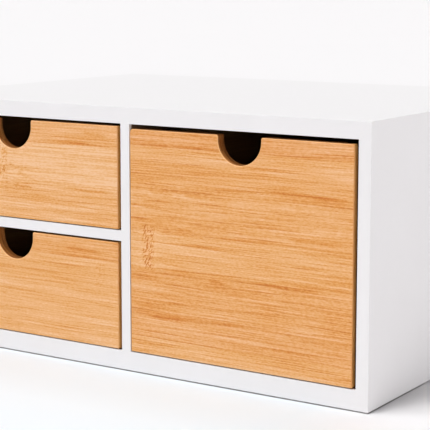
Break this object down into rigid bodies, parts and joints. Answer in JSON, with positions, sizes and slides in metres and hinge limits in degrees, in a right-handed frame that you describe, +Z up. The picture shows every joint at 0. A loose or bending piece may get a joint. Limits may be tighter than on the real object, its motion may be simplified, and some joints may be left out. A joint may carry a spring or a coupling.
{
  "type": "desktop mini drawers",
  "caption": "White painted desk-top chest with shallow drawers stacked beside a deep drawer, bamboo fronts flush in the carcass, half-round finger notches.",
  "frame": {"origin": "centre of the footprint, on the surface the pads stand on", "axes": "+X to the right seen from the front, +Y from the fronts to the back, +Z up; the drawers slide out along -Y"},
  "size_m": [0.27, 0.2, 0.1259],
  "materials": {
    "white_paint": "board with smooth satin white paint",
    "bamboo": "carbonised bamboo, fine horizontal fibres, clear satin lacquer",
    "drawer_box_wood": "pale bamboo board, sanded, unlacquered",
    "drawer_bottom_wood": "thin plywood, sanded",
    "steel": "bright steel brads and pins",
    "pad": "thin dark grey foam rubber"
  },
  "bodies": {
    "cabinet": {"top_panel": "white_paint", "bottom_panel": "white_paint", "left_side_panel": "white_paint", "right_side_panel": "white_paint", "centre_divider": "white_paint", "left_shelf": "white_paint", "back_panel": "white_paint", "back_panel_pins": "steel", "carcass_brads": "steel", "foot_pads": "pad"},
    "upper_left_drawer": {"upper_left_drawer_front": "bamboo", "upper_left_drawer_left_side": "drawer_box_wood", "upper_left_drawer_right_side": "drawer_box_wood", "upper_left_drawer_back": "drawer_box_wood", "upper_left_drawer_bottom": "drawer_bottom_wood", "upper_left_drawer_brads": "steel"},
    "lower_left_drawer": {"lower_left_drawer_front": "bamboo", "lower_left_drawer_left_side": "drawer_box_wood", "lower_left_drawer_right_side": "drawer_box_wood", "lower_left_drawer_back": "drawer_box_wood", "lower_left_drawer_bottom": "drawer_bottom_wood", "lower_left_drawer_brads": "steel"},
    "right_drawer": {"right_drawer_front": "bamboo", "right_drawer_left_side": "drawer_box_wood", "right_drawer_right_side": "drawer_box_wood", "right_drawer_back": "drawer_box_wood", "right_drawer_bottom": "drawer_bottom_wood", "right_drawer_brads": "steel"}
  },
  "joints": [
    {"name": "upper_left_slide", "type": "slide", "parent": "cabinet", "child": "upper_left_drawer", "axis": [0, -1, 0], "range_m": [0, 0.15]},
    {"name": "lower_left_slide", "type": "slide", "parent": "cabinet", "child": "lower_left_drawer", "axis": [0, -1, 0], "range_m": [0, 0.15]},
    {"name": "right_slide", "type": "slide", "parent": "cabinet", "child": "right_drawer", "axis": [0, -1, 0], "range_m": [0, 0.15]}
  ]
}
